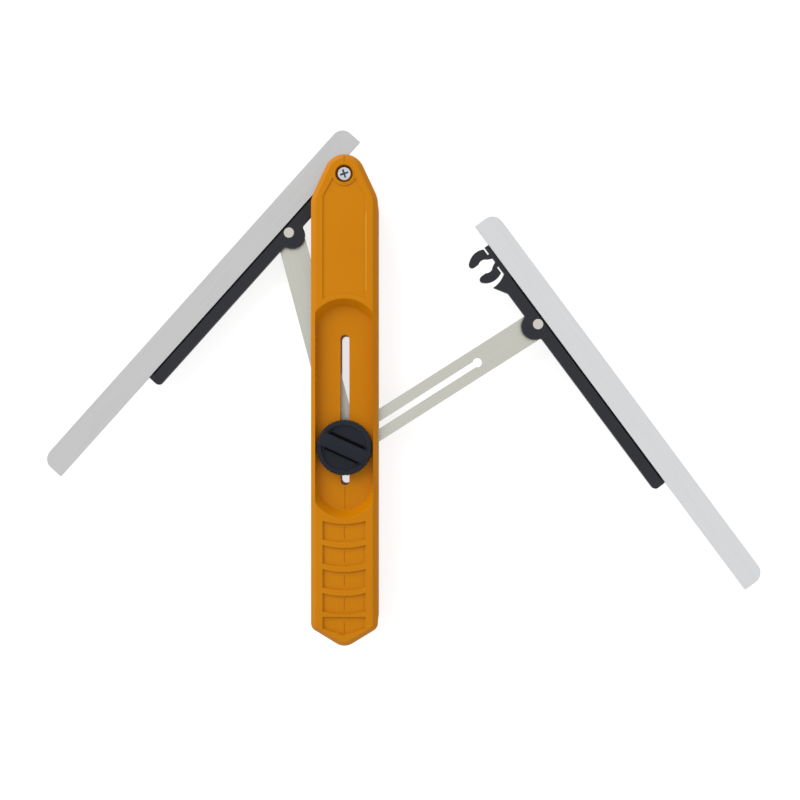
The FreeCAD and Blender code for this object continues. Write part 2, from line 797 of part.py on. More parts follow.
def build_link(label, low, rivet, far, slotted):
    """Flat steel link from the rivet to the bolt at far."""
    body = new_body(label)
    wide = half("link_width")
    reach = size("link_slot_end") if slotted else size("link_reach")
    tail = reach + size("link_tail")
    plan = new_sketch(body, "plan", low)
    draw_profile(plan, [
        (0, wide, wide), (0, -wide), (tail - wide, -wide, wide), (tail - wide, wide)])
    pad(body, plan, size("link_thickness"))
    holes = new_sketch(body, "holes", low + size("link_thickness"))
    draw_circle(holes, 0, 0, half("rivet_diameter"))
    if slotted:
        # The slot opens into a round eye at its rivet end.
        eye = half("link_eye_diameter")
        slim = half("link_slot_width")
        run = (eye * eye - slim * slim).root()
        start = size("link_slot_start")
        draw_profile(holes, [
            (start + run, slim, eye), (start - eye, 0, eye), (start + run, -slim),
            (reach, -slim, slim), (reach, slim)])
    else:
        draw_circle(holes, reach, 0, half("bolt_diameter") + size("running_play"))
    pocket(body, holes, size("link_thickness"))
    turn = math.degrees(math.atan2(far.y - rivet.y, far.x - rivet.x))
    spin = FreeCAD.Rotation(FreeCAD.Vector(0, 0, 1), turn)
    body.Placement = FreeCAD.Placement(FreeCAD.Vector(rivet.x, rivet.y, 0), spin)
    return body


# Clamp bolt and what it carries

def ring(label, outer, bore, low, tall):
    outside = cylinder(label + "_outside", outer, tall, bolt_place.x, bolt_place.y, low)
    hole = cylinder(label + "_bore", bore, tall, bolt_place.x, bolt_place.y, low)
    return cut(label, outside, hole)


def guide(label, low, tall):
    """Nylon bush that runs in the casing's slot."""
    return ring(label, half("slot_width") - size("assembly_play"), bolt_bore, low, tall)


bolt_bore = half("bolt_diameter") + size("running_play")
play = size("stack_play")


def build_clamp():
    head_low = size("bolt_head_rise")
    head_top = head_low + size("bolt_head_height")
    knob_low = recess_floor + size("knob_lift")
    shank_top = knob_low + size("knob_insert_height")
    head = cylinder("bolt_head", half("bolt_head_diameter"), size("bolt_head_height"),
                    bolt_place.x, bolt_place.y, head_low)
    shank = cylinder("bolt_shank", half("bolt_diameter"), shank_top - head_top,
                     bolt_place.x, bolt_place.y, head_top)
    bolt = fuse("clamp_bolt", head, shank)
    washer = half("washer_diameter")
    back_washer = ring("back_washer", washer, bolt_bore, head_top, size("washer_thickness"))
    back_low = size("head_channel_depth") + play
    back_guide = guide("back_guide", back_low, gap_floor - back_low - play)
    spacer_low = left_link_floor + size("link_thickness") + play
    link_spacer = ring("link_spacer", half("spacer_diameter"), bolt_bore,
                       spacer_low, right_link_floor - spacer_low - play)
    slide_low = right_link_floor + size("link_thickness") + play
    slide_washer = ring("slide_washer", washer, bolt_bore, slide_low, size("washer_thickness"))
    upper_low = slide_low + size("washer_thickness") + play
    upper_spacer = ring("upper_spacer", half("spacer_diameter"), bolt_bore,
                        upper_low, gap_roof - upper_low - play)
    front_low = gap_roof + play
    front_guide = guide("front_guide", front_low, recess_floor - front_low - play)
    knob_washer = ring("knob_washer", half("washer_diameter"), bolt_bore,
                       recess_floor + play, size("knob_lift") - play * 2)
    return [bolt, back_washer, back_guide, link_spacer, slide_washer, upper_spacer,
            front_guide, knob_washer]


def build_knob():
    body = new_body("knob")
    low = recess_floor + size("knob_lift")
    rim = low + size("knob_rim_height")
    disc = new_sketch(body, "disc", low)
    draw_circle(disc, 0, 0, half("knob_diameter"))
    pad(body, disc, size("knob_rim_height"))
    soften(body, "Fillet", "edge", face_edges(body.Shape, rim.value), size("knob_edge_round"))

    # The top is dished inside a rim, and the finger bar stands across the dish.
    sink = size("knob_bar_sink")
    dish = new_sketch(body, "dish", rim)
    draw_circle(dish, 0, 0, size("knob_dish_radius"))
    pocket(body, dish, sink)
    bar = new_sketch(body, "bar", rim - sink)
    across = half("knob_bar_width")
    ends = half("knob_diameter") - size("knob_edge_round")
    run = (ends * ends - across * across).root()
    draw_profile(bar, [
        (run, -across, ends), (run, across), (-run, across, ends), (-run, -across)])
    pad(body, bar, sink + size("knob_bar_height"))
    top = rim.value + SIZES["knob_bar_height"]
    soften(body, "Fillet", "bar_round", face_edges(body.Shape, top), size("knob_bar_round"))

    notch = new_sketch(body, "notch", rim)
    draw_circle(notch, half("knob_diameter") + size("knob_notch_diameter") * 0.2, 0,
                half("knob_notch_diameter"))
    first = pocket(body, notch, size("knob_rim_height"))
    pattern = body.newObject("PartDesign::PolarPattern", "knob_notches")
    pattern.Originals = [first]
    pattern.Axis = (origin_feature(body, "Z_Axis"), [""])
    pattern.Angle = 360
    pattern.setExpression("Occurrences", size("knob_notch_count").text)
    body.Tip = pattern
    doc.recompute()

    socket = new_sketch(body, "insert_socket", low)
    draw_circle(socket, 0, 0, half("knob_insert_diameter"))
    pocket(body, socket, size("knob_insert_height"), upward=True)
    spin = FreeCAD.Rotation(FreeCAD.Vector(0, 0, 1), -SIZES["knob_angle"])
    body.Placement = FreeCAD.Placement(bolt_place, spin)
    insert = ring("knob_insert", half("knob_insert_diameter"), bolt_bore, low, size("knob_insert_height"))
    return [body, insert]


parts = [build_front_shell(), build_back_shell(), build_foot_screw()]
parts += build_pivot()
parts += build_clamp()
parts += build_knob()
right_link_top = right_link_floor + size("link_thickness")
for word, side, low, pose in (
        ("left", -1, left_arm_floor, left_arm_pose),
        ("right", 1, right_arm_floor, right_arm_pose)):
    parts.append(build_carrier(word + "_carrier", side, low, pose))
    parts.append(build_ruler(word + "_ruler", side, low, pose))
    parts.append(build_studs(word + "_ruler_studs", side, low, pose))
parts.append(build_link("left_link", left_link_floor, left_rivet, bolt_place, False))
parts.append(build_link("right_link", right_link_floor, right_rivet, bolt_place, True))
parts.append(build_rivet("left_rivet", left_rivet, left_arm_floor, left_arm_roof))
parts.append(build_rivet("right_rivet", right_rivet, right_link_floor,
                         right_arm_floor + size("carrier_thickness")))
tail = cylinder("left_rivet_tail", half("rivet_diameter") - size("running_play"),
                size("link_thickness"), left_rivet.x, left_rivet.y, left_link_floor)
tail.Label = "left_rivet_tail"
parts.append(tail)

doc.recompute()

for item in doc.Objects:
    if "Invalid" in item.State or "Error" in item.State:
        raise RuntimeError("%s is %s" % (item.Name, item.State))
os.makedirs("parts", exist_ok=True)
for item in parts:
    if item.Shape.isNull() or not item.Shape.isValid():
        raise RuntimeError(item.Label + " has no valid shape")
for item in parts:
    item.Shape.exportStep("parts/%s.step" % item.Label)
    box = item.Shape.BoundBox
    print("%-18s solids %d  volume %8.1f  x %7.1f %7.1f  y %7.1f %7.1f  z %5.1f %5.1f" % (
        item.Label, len(item.Shape.Solids), item.Shape.Volume,
        box.XMin, box.XMax, box.YMin, box.YMax, box.ZMin, box.ZMax))
print("bolt at", bolt_place, "left rivet", left_rivet, "right rivet", right_rivet)
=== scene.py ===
# %% [markdown]
# The angle finder lies on its back, seen from straight above. Its casing, rulers, links and
# fasteners come packed at their real size as a fixed frame. This lesson gives each of them
# its finish, and models the small shapes that a mould or a press leaves on them.
# The box of the imported part is kept first.

# %% Load the frame
import bpy
import math
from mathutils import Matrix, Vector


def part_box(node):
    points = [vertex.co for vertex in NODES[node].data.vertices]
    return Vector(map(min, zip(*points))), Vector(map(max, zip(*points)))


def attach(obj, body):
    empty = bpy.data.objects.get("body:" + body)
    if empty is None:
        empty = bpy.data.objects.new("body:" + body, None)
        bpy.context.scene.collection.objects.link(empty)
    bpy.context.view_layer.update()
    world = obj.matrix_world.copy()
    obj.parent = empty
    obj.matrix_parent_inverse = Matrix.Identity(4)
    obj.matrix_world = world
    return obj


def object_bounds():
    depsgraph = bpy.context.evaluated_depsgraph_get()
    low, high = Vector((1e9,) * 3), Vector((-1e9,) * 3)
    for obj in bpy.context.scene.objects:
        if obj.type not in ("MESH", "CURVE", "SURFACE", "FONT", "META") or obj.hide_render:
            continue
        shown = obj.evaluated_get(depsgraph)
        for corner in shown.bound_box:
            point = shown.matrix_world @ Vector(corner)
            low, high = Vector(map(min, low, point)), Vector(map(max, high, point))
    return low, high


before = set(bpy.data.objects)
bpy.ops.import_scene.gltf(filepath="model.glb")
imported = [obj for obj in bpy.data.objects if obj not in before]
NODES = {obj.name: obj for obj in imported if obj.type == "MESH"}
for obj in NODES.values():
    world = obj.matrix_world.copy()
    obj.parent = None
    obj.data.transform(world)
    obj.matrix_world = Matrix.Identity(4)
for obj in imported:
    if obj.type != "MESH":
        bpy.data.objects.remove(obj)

CAD_BOX = [list(corner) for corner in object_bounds()]
print("packed part, metres:", CAD_BOX)

# %% [markdown]
# The heights and centres below are read from the frame, so the details stay on the pieces that carry them.
# The pivot's axis is the origin. The knob's centre and the rivets' places are the middles
# of their own boxes.

# %% Places read from the frame
MM = 0.001


def middle(node):
    """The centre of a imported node's box."""
    low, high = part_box(node)
    return [(low[axis] + high[axis]) / 2 for axis in range(3)]


def top_of(node):
    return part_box(node)[1][2]


KNOB_X, KNOB_Y, _ = middle("knob_insert")
KNOB_TOP = top_of("knob")
FACE_TOP = top_of("front_shell")
LEFT_RIVET = middle("left_rivet")
RIGHT_RIVET = middle("right_rivet")
print("knob at", KNOB_X, KNOB_Y, "front face at", FACE_TOP)


RULER_TURNS = {"left_ruler": math.radians(-131.84), "right_ruler": math.radians(-53.35)}

# %% [markdown]
# Three effects are shared by several finishes, so each is a node group with named inputs:
# the fine grain that a spark-eroded mould leaves, the streaks of brushed metal, and a
# different tone along edges, which is wear and, on the plastics' paler edges, also a painted
# highlight. The edge mask compares the true normal with the one that
# a bevel of a given radius would have: they differ only near an edge.


# %% Helpers for node trees
def link(tree, source, target):
    tree.links.new(source, target)


def add_node(tree, kind, **settings):
    node = tree.nodes.new(kind)
    for name, value in settings.items():
        setattr(node, name, value)
    return node


def new_group(name, inputs, outputs):
    """A shader node group with plain sockets, and its input and output nodes."""
    group = bpy.data.node_groups.new(name, "ShaderNodeTree")
    for socket, kind in inputs:
        group.interface.new_socket(socket, in_out="INPUT", socket_type=kind)
    for socket, kind in outputs:
        group.interface.new_socket(socket, in_out="OUTPUT", socket_type=kind)
    return group, group.nodes.new("NodeGroupInput"), group.nodes.new("NodeGroupOutput")


def remap(tree, source, low, high, low_out, high_out):
    node = add_node(tree, "ShaderNodeMapRange")
    for socket, value in (("From Min", low), ("From Max", high), ("To Min", low_out), ("To Max", high_out)):
        node.inputs[socket].default_value = value
    link(tree, source, node.inputs["Value"])
    return node.outputs["Result"]


def multiply(tree, first, second):
    node = add_node(tree, "ShaderNodeMath", operation="MULTIPLY")
    link(tree, first, node.inputs[0])
    if isinstance(second, float):
        node.inputs[1].default_value = second
    else:
        link(tree, second, node.inputs[1])
    return node.outputs[0]


# %% The grain of a mould
FLOAT = "NodeSocketFloat"
VECTOR = "NodeSocketVector"


def build_grain():
    group, given, out = new_group(
        "mould_grain", [("Vector", VECTOR), ("Scale", FLOAT)], [("Height", FLOAT), ("Mottle", FLOAT)])
    fine = add_node(group, "ShaderNodeTexNoise")
    fine.inputs["Detail"].default_value = 3.0
    link(group, given.outputs["Vector"], fine.inputs["Vector"])
    link(group, given.outputs["Scale"], fine.inputs["Scale"])
    pits = add_node(group, "ShaderNodeTexVoronoi")
    link(group, given.outputs["Vector"], pits.inputs["Vector"])
    link(group, given.outputs["Scale"], pits.inputs["Scale"])
    link(group, multiply(group, fine.outputs["Fac"], pits.outputs["Distance"]), out.inputs["Height"])
    broad = add_node(group, "ShaderNodeTexNoise")
    broad.inputs["Scale"].default_value = 28.0
    broad.inputs["Detail"].default_value = 4.0
    link(group, given.outputs["Vector"], broad.inputs["Vector"])
    link(group, remap(group, broad.outputs["Fac"], 0.3, 0.7, 0.0, 1.0), out.inputs["Mottle"])
    return group


GRAIN = build_grain()


# %% The streaks of brushed metal
def build_brush():
    group, given, out = new_group(
        "brush_streaks", [("Vector", VECTOR), ("Scale", FLOAT)], [("Height", FLOAT), ("Streak", FLOAT)])
    stretch = add_node(group, "ShaderNodeMapping")
    stretch.inputs["Scale"].default_value = (0.012, 1.0, 1.0)
    link(group, given.outputs["Vector"], stretch.inputs["Vector"])
    lines = add_node(group, "ShaderNodeTexNoise")
    lines.inputs["Detail"].default_value = 6.0
    lines.inputs["Roughness"].default_value = 0.65
    link(group, stretch.outputs["Vector"], lines.inputs["Vector"])
    link(group, given.outputs["Scale"], lines.inputs["Scale"])
    link(group, lines.outputs["Fac"], out.inputs["Height"])
    link(group, remap(group, lines.outputs["Fac"], 0.3, 0.7, 0.0, 1.0), out.inputs["Streak"])
    return group


BRUSH = build_brush()


# %% The wear and painted highlight along edges
def build_edges():
    group, given, out = new_group(
        "edge_wear_and_highlight", [("Vector", VECTOR), ("Radius", FLOAT)], [("Mask", FLOAT), ("Normal", VECTOR)])
    bevel = add_node(group, "ShaderNodeBevel", samples=6)
    link(group, given.outputs["Radius"], bevel.inputs["Radius"])
    surface = add_node(group, "ShaderNodeNewGeometry")
    compare = add_node(group, "ShaderNodeVectorMath", operation="DOT_PRODUCT")
    link(group, bevel.outputs["Normal"], compare.inputs[0])
    link(group, surface.outputs["Normal"], compare.inputs[1])
    edge = remap(group, compare.outputs["Value"], 0.99, 0.78, 0.0, 1.0)
    patches = add_node(group, "ShaderNodeTexNoise")
    patches.inputs["Scale"].default_value = 240.0
    link(group, given.outputs["Vector"], patches.inputs["Vector"])
    broken = remap(group, patches.outputs["Fac"], 0.38, 0.62, 0.25, 1.0)
    link(group, multiply(group, edge, broken), out.inputs["Mask"])
    link(group, bevel.outputs["Normal"], out.inputs["Normal"])
    return group


EDGES = build_edges()
print("shared groups:", [group.name for group in (GRAIN, BRUSH, EDGES)])

# %% [markdown]
# A finish is a Principled shader with these groups in front of it. Numbers that are the same
# all over, such as the specular level, are set on the shader itself. The colours are linear.


# %% A material and its shader
def new_material(name, metallic=0.0, specular=0.5):
    material = bpy.data.materials.new(name)
    material.use_nodes = True
    tree = material.node_tree
    shader = tree.nodes["Principled BSDF"]
    shader.inputs["Metallic"].default_value = metallic
    shader.inputs["Specular IOR Level"].default_value = specular
    return material, tree, shader


def place_group(tree, group, vector, **values):
    node = add_node(tree, "ShaderNodeGroup")
    node.node_tree = group
    link(tree, vector, node.inputs["Vector"])
    for name, value in values.items():
        node.inputs[name].default_value = value
    return node


def blend_colours(tree, factor, first, second):
    """Mixes two colours, each a plain tuple or another node's colour."""
    mix = add_node(tree, "ShaderNodeMix", data_type="RGBA")
    link(tree, factor, mix.inputs["Factor"])
    for socket, colour in (("A", first), ("B", second)):
        target = [item for item in mix.inputs if item.name == socket and item.type == "RGBA"][0]
        if isinstance(colour, tuple):
            target.default_value = colour + (1.0,)
        else:
            link(tree, colour, target)
    return [item for item in mix.outputs if item.type == "RGBA"][0]


def bump(tree, height, normal, strength, distance):
    node = add_node(tree, "ShaderNodeBump")
    node.inputs["Strength"].default_value = strength
    node.inputs["Distance"].default_value = distance
    link(tree, height, node.inputs["Height"])
    link(tree, normal, node.inputs["Normal"])
    return node.outputs["Normal"]


# %% Moulded plastic
def plastic(name, colour, mottled, wear_and_highlight, roughness, specular, grain_scale=2600.0, radius=0.4 * MM,
            depth=0.03 * MM):
    """A moulded finish: two close tones, fine grain, and edges paler, partly from rubbing and partly as a
    painted highlight.
    """
    material, tree, shader = new_material(name, specular=specular)
    place = add_node(tree, "ShaderNodeTexCoord").outputs["Object"]
    grain = place_group(tree, GRAIN, place, Scale=grain_scale)
    edges = place_group(tree, EDGES, place, Radius=radius)
    base = blend_colours(tree, grain.outputs["Mottle"], colour, mottled)
    link(tree, blend_colours(tree, edges.outputs["Mask"], base, wear_and_highlight), shader.inputs["Base Color"])
    rough = remap(tree, grain.outputs["Mottle"], 0.0, 1.0, roughness - 0.04, roughness + 0.05)
    link(tree, rough, shader.inputs["Roughness"])
    normal = bump(tree, grain.outputs["Height"], edges.outputs["Normal"], 0.35, depth)
    link(tree, normal, shader.inputs["Normal"])
    return material


ORANGE = plastic(
    "orange_plastic", (0.585, 0.208, 0.0008), (0.555, 0.192, 0.0006), (0.720, 0.310, 0.022), 0.42, 0.12)
# A paler orange that paints the highlight on the panel's right lip.
HIGHLIGHT_ORANGE = plastic(
    "orange_painted_highlight", (0.780, 0.380, 0.030), (0.740, 0.350, 0.024), (0.860, 0.480, 0.080), 0.34, 0.20)
SEAM_ORANGE = plastic(
    "orange_seam", (0.300, 0.075, 0.0006), (0.260, 0.062, 0.0005), (0.380, 0.100, 0.004), 0.50, 0.08)
NYLON = plastic(
    "black_nylon", (0.022, 0.023, 0.028), (0.027, 0.028, 0.034), (0.060, 0.062, 0.072), 0.45, 0.16)
KNOB = plastic(
    "knob_plastic", (0.011, 0.014, 0.020), (0.016, 0.019, 0.027), (0.070, 0.080, 0.100), 0.32, 0.14)
# A near black that paints shade: the strips beside the knob's finger bar and the lines beside the rulers.
KNOB_SHADE = plastic(
    "knob_shade", (0.003, 0.003, 0.005), (0.004, 0.004, 0.006), (0.008, 0.009, 0.012), 0.60, 0.06)


# %% Brushed and turned metal
def metal(name, colour, streaked, wear_and_highlight, roughness, turn=0.0, scale=1500.0, radius=0.2 * MM, depth=0.003 * MM):
    """A metal finish whose streaks run along the piece, which lies at the given turn."""
    material, tree, shader = new_material(name, metallic=1.0)
    place = add_node(tree, "ShaderNodeTexCoord").outputs["Object"]
    along = add_node(tree, "ShaderNodeMapping", vector_type="TEXTURE")
    along.inputs["Rotation"].default_value = (0.0, 0.0, turn)
    link(tree, place, along.inputs["Vector"])
    brush = place_group(tree, BRUSH, along.outputs["Vector"], Scale=scale)
    edges = place_group(tree, EDGES, place, Radius=radius)
    base = blend_colours(tree, brush.outputs["Streak"], colour, streaked)
    link(tree, blend_colours(tree, edges.outputs["Mask"], base, wear_and_highlight), shader.inputs["Base Color"])
    rough = remap(tree, brush.outputs["Streak"], 0.0, 1.0, roughness - 0.05, roughness + 0.05)
    link(tree, rough, shader.inputs["Roughness"])
    normal = bump(tree, brush.outputs["Height"], edges.outputs["Normal"], 0.25, depth)
    link(tree, normal, shader.inputs["Normal"])
    return material


LEFT_LINK_TURN = math.atan2(KNOB_Y - LEFT_RIVET[1], KNOB_X - LEFT_RIVET[0])
RIGHT_LINK_TURN = math.atan2(KNOB_Y - RIGHT_RIVET[1], KNOB_X - RIGHT_RIVET[0])
PALE = (0.70, 0.71, 0.72)
PALE_STREAK = (0.66, 0.67, 0.68)
PALE_EDGE = (0.50, 0.50, 0.51)
# The left ruler is the same metal as the right one: its greyer tone is painted shade.
PALE_IN_PAINTED_SHADE = (0.60, 0.60, 0.60)
PALE_STREAK_IN_PAINTED_SHADE = (0.565, 0.565, 0.565)
LEFT_RULER = metal("left_ruler_metal_painted_shade", PALE_IN_PAINTED_SHADE, PALE_STREAK_IN_PAINTED_SHADE, PALE_EDGE, 0.46, RULER_TURNS["left_ruler"])
RIGHT_RULER = metal("right_ruler_metal", PALE, PALE_STREAK, PALE_EDGE, 0.42, RULER_TURNS["right_ruler"])
STEEL = (0.58, 0.58, 0.52)
STEEL_STREAK = (0.54, 0.54, 0.48)
STEEL_EDGE = (0.40, 0.40, 0.36)
LEFT_LINK = metal("left_link_metal", STEEL, STEEL_STREAK, STEEL_EDGE, 0.38, LEFT_LINK_TURN)
RIGHT_LINK = metal("right_link_metal", STEEL, STEEL_STREAK, STEEL_EDGE, 0.38, RIGHT_LINK_TURN)
RIVET = metal("rivet_metal", (0.66, 0.63, 0.58), (0.60, 0.57, 0.52), (0.48, 0.45, 0.40), 0.36, scale=900.0)
CHROME = metal("chrome_screw", (0.66, 0.68, 0.74), (0.54, 0.56, 0.63), (0.88, 0.88, 0.9), 0.14, scale=500.0)
# A near-black blue that paints the shade at the bottom of the screw's cross recess.
RECESS_SHADE = metal(
    "screw_recess", (0.035, 0.045, 0.070), (0.060, 0.075, 0.110), (0.20, 0.22, 0.26), 0.30, scale=500.0)
ZINC = metal("zinc_screw", (0.56, 0.57, 0.59), (0.50, 0.51, 0.54), (0.7, 0.7, 0.72), 0.30, scale=800.0)
BRASS = metal("brass_insert", (0.72, 0.50, 0.20), (0.66, 0.45, 0.17), (0.8, 0.6, 0.3), 0.28, scale=800.0)

# %% [markdown]
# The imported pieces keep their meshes. Each only gets its finish in the slots it already has.

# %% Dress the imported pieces
FINISHES = {
    "front_shell": ORANGE, "back_shell": ORANGE, "foot_screw": ZINC,
    "pivot_post": ZINC, "pivot_screw": CHROME, "pivot_nut": ZINC,
    "clamp_bolt": ZINC, "back_washer": ZINC, "back_guide": NYLON, "link_spacer": NYLON,
    "slide_washer": ZINC, "upper_spacer": NYLON, "front_guide": NYLON, "knob_washer": ZINC,
    "knob": KNOB, "knob_insert": BRASS,
    "left_carrier": NYLON, "right_carrier": NYLON,
    "left_ruler": LEFT_RULER, "right_ruler": RIGHT_RULER,
    "left_ruler_studs": RIVET, "right_ruler_studs": RIVET,
    "left_link": LEFT_LINK, "right_link": RIGHT_LINK,
    "left_rivet": RIVET, "right_rivet": RIVET, "left_rivet_tail": RIVET,
}
for node_name, finish in FINISHES.items():
    for material_slot in NODES[node_name].material_slots:
        material_slot.material = finish
print("dressed", len(FINISHES), "of", len(NODES), "packed pieces")

# %% [markdown]
# The casing's mould has a parting line down its middle. It shows as a hair-thin raised line
# above the pivot, on the floor of the knob's recess and across the grip pockets. Each line
# is a bar with bevelled edges, sunk most of the way into the plastic under it.


# %% Helpers for modelled pieces
def start_fresh():
    if bpy.context.object is not None and bpy.context.object.mode != "OBJECT":
        bpy.ops.object.mode_set(mode="OBJECT")
    bpy.ops.object.select_all(action="DESELECT")


def settle(piece, name, body, finish):
    """Puts a finished piece's place into its mesh and lets it ride on its body."""
    start_fresh()
    piece.select_set(True)
    bpy.context.view_layer.objects.active = piece
    bpy.ops.object.transform_apply(location=True, rotation=True, scale=True)
    bpy.ops.object.mode_set(mode="EDIT")
    bpy.ops.mesh.select_all(action="SELECT")
    bpy.ops.mesh.remove_doubles(threshold=0.001 * MM)
    bpy.ops.mesh.normals_make_consistent(inside=False)
    bpy.ops.object.mode_set(mode="OBJECT")
    bpy.ops.object.shade_smooth_by_angle(angle=math.radians(35))
    piece.name = name
    piece.data.materials.clear()
    piece.data.materials.append(finish)
    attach(piece, body)
    print(name, "has", len(piece.data.polygons), "faces")
    return piece


def copy_of(piece, shift, turn=0.0):
    """A copy with its own mesh, moved and turned about the frame's upright axis."""
    twin = piece.copy()
    twin.data = piece.data.copy()
    bpy.context.scene.collection.objects.link(twin)
    twin.location = shift
    twin.rotation_euler = (0.0, 0.0, turn)
    return twin


def apply_bevel(piece, width, segments=2):
    modifier = piece.modifiers.new("edges", "BEVEL")
    modifier.width = width
    modifier.segments = segments
    modifier.limit_method = "ANGLE"
    bpy.context.view_layer.objects.active = piece
    bpy.ops.object.modifier_apply(modifier=modifier.name)


# %% Parting lines of the casing
LINE_WIDTH = 0.22 * MM
LINE_RISE = 0.06 * MM
LINE_TALL = 0.4 * MM
LINE_ROUNDING = LINE_WIDTH * 0.3
RECESS_FLOOR = FACE_TOP - 6.0 * MM
GRIP_FLOOR = FACE_TOP - 1.2 * MM
GRIP_FIRST = -186.1 * MM
GRIP_PITCH = 12.85 * MM
GRIP_COUNT = 5
CAP_SPAN = (6.0 * MM, 10.2 * MM)
RECESS_SPAN = (-180.4 * MM, -168.4 * MM)
GRIP_SPAN = (GRIP_FIRST - 9.4 * MM, GRIP_FIRST - 3.0 * MM)


def line_bar(span, floor):
    """A thin bar down the casing's middle, its top a hair above the floor."""
    start_fresh()
    low, high = span
    bpy.ops.mesh.primitive_cube_add(
        size=1.0, location=(0.0, (low + high) / 2, floor + LINE_RISE - LINE_TALL / 2))
    bar = bpy.context.object
    bar.scale = (LINE_WIDTH, high - low, LINE_TALL)
    bpy.ops.object.transform_apply(location=True, rotation=True, scale=True)
    apply_bevel(bar, LINE_ROUNDING)
    return bar


def settle_line(bar, name):
    return settle(bar, name, "casing", SEAM_ORANGE)


settle_line(line_bar(CAP_SPAN, FACE_TOP), "parting_line_cap")
settle_line(line_bar(RECESS_SPAN, RECESS_FLOOR), "parting_line_recess")
grip_line = line_bar(GRIP_SPAN, GRIP_FLOOR)
grip_lines = [grip_line]
grip_lines += [copy_of(grip_line, (0.0, -GRIP_PITCH * number, 0.0)) for number in range(1, GRIP_COUNT)]
for number, bar in enumerate(grip_lines):
    settle_line(bar, "parting_line_grip_%d" % number)

# %% [markdown]
# A low lip runs round the pivot's counterbore. It is a torus, pressed a little flatter and
# sunk in the casing's face, so that only its upper side stands on the plastic.

# %% Lip round the pivot
LIP_RADIUS = 5.15 * MM
LIP_WIDTH = 0.42 * MM
LIP_SINK = 0.15 * MM
LIP_FLATTENING = 0.9


def pivot_lip():
    start_fresh()
    bpy.ops.mesh.primitive_torus_add(
        major_radius=LIP_RADIUS, minor_radius=LIP_WIDTH, major_segments=72, minor_segments=12,
        location=(0.0, 0.0, FACE_TOP - LIP_SINK))
    lip = bpy.context.object
    lip.scale = (1.0, 1.0, LIP_FLATTENING)
    return settle(lip, "pivot_lip", "casing", ORANGE)


pivot_lip()

# %% [markdown]
# The knob's dish carries a thin raised arc on each side of the finger bar. A small upright
# rectangle is spun round the knob's axis, which leaves a closed rib with two end faces. The
# second rib is a copy of the first, turned half way round the knob's axis.

# %% Ribs in the knob's dish
KNOB_CENTRE = (KNOB_X, KNOB_Y)
BAR_TURN = -math.radians(24.5)
RIB_RADIUS = 11.2 * MM
RIB_WIDTH = 0.5 * MM
RIB_RISE = 0.35 * MM
RIB_TALL = RIB_RISE * 1.4
RIB_SPAN = math.radians(86)
RIB_STEPS = 36
DISH_FLOOR = KNOB_TOP - 4.6 * MM


def knob_rib():
    start_fresh()
    start = BAR_TURN + math.pi / 2 - RIB_SPAN / 2
    rib_x = KNOB_X + RIB_RADIUS * math.cos(start)
    rib_y = KNOB_Y + RIB_RADIUS * math.sin(start)
    bpy.ops.mesh.primitive_plane_add(
        size=1.0, rotation=(math.pi / 2, 0.0, start), location=(rib_x, rib_y, DISH_FLOOR + RIB_RISE / 2))
    rib = bpy.context.object
    rib.scale = (RIB_WIDTH, RIB_TALL, 1.0)
    bpy.ops.object.transform_apply(location=True, rotation=True, scale=True)
    bpy.ops.object.mode_set(mode="EDIT")
    bpy.ops.mesh.select_all(action="SELECT")
    bpy.ops.mesh.spin(
        steps=RIB_STEPS, angle=RIB_SPAN, center=(KNOB_X, KNOB_Y, DISH_FLOOR), axis=(0, 0, 1))
    bpy.ops.object.mode_set(mode="OBJECT")
    return rib


upper_rib = knob_rib()
lower_rib = copy_of(upper_rib, (KNOB_X * 2, KNOB_Y * 2, 0.0), math.pi)
settle(upper_rib, "knob_rib_upper", "knob", KNOB)
settle(lower_rib, "knob_rib_lower", "knob", KNOB)

# %% [markdown]
# The finger bar has a crowned top with soft edges, and where its steep sides meet the dish
# it stays dark: a thin nearly black strip stands for that shade on each side. All are bars in
# a turned frame, from one helper that also serves the carriers further down.


# %% A bar in a turned frame
def shape_bar(pivot, turn, along, across, low, high, rounding):
    """A bevelled bar, not yet settled, in a frame that starts at pivot and runs at turn."""
    start_fresh()
    middle_along = (along[0] + along[1]) / 2
    middle_across = (across[0] + across[1]) / 2
    centre_x = pivot[0] + middle_along * math.cos(turn) - middle_across * math.sin(turn)
    centre_y = pivot[1] + middle_along * math.sin(turn) + middle_across * math.cos(turn)
    bpy.ops.mesh.primitive_cube_add(
        size=1.0, rotation=(0.0, 0.0, turn), location=(centre_x, centre_y, (low + high) / 2))
    bar = bpy.context.object
    bar.scale = (along[1] - along[0], across[1] - across[0], high - low)
    bpy.ops.object.transform_apply(location=True, rotation=True, scale=True)
    apply_bevel(bar, rounding, segments=4)
    return bar


def half_each_way(length):
    return (-length / 2, length / 2)


# %% Finger bar's crown and its strips of painted shade
CROWN_LENGTH = 25.6 * MM
CROWN_WIDTH = 5.4 * MM
CROWN_RISE = 0.28 * MM
SHADE_STRIP_LENGTH = 21.0 * MM
SHADE_STRIP_WIDTH = 1.5 * MM
SHADE_STRIP_SINK = 0.3 * MM
SHADE_STRIP_RISE = 0.06 * MM
SHADE_STRIP_ROUNDING = 0.05 * MM
BAR_HALF = 3.65 * MM
crown = shape_bar(
    KNOB_CENTRE, BAR_TURN, half_each_way(CROWN_LENGTH), half_each_way(CROWN_WIDTH),
    KNOB_TOP - CROWN_RISE, KNOB_TOP + CROWN_RISE, CROWN_RISE * 0.9)
settle(crown, "knob_bar_crown", "knob", KNOB)
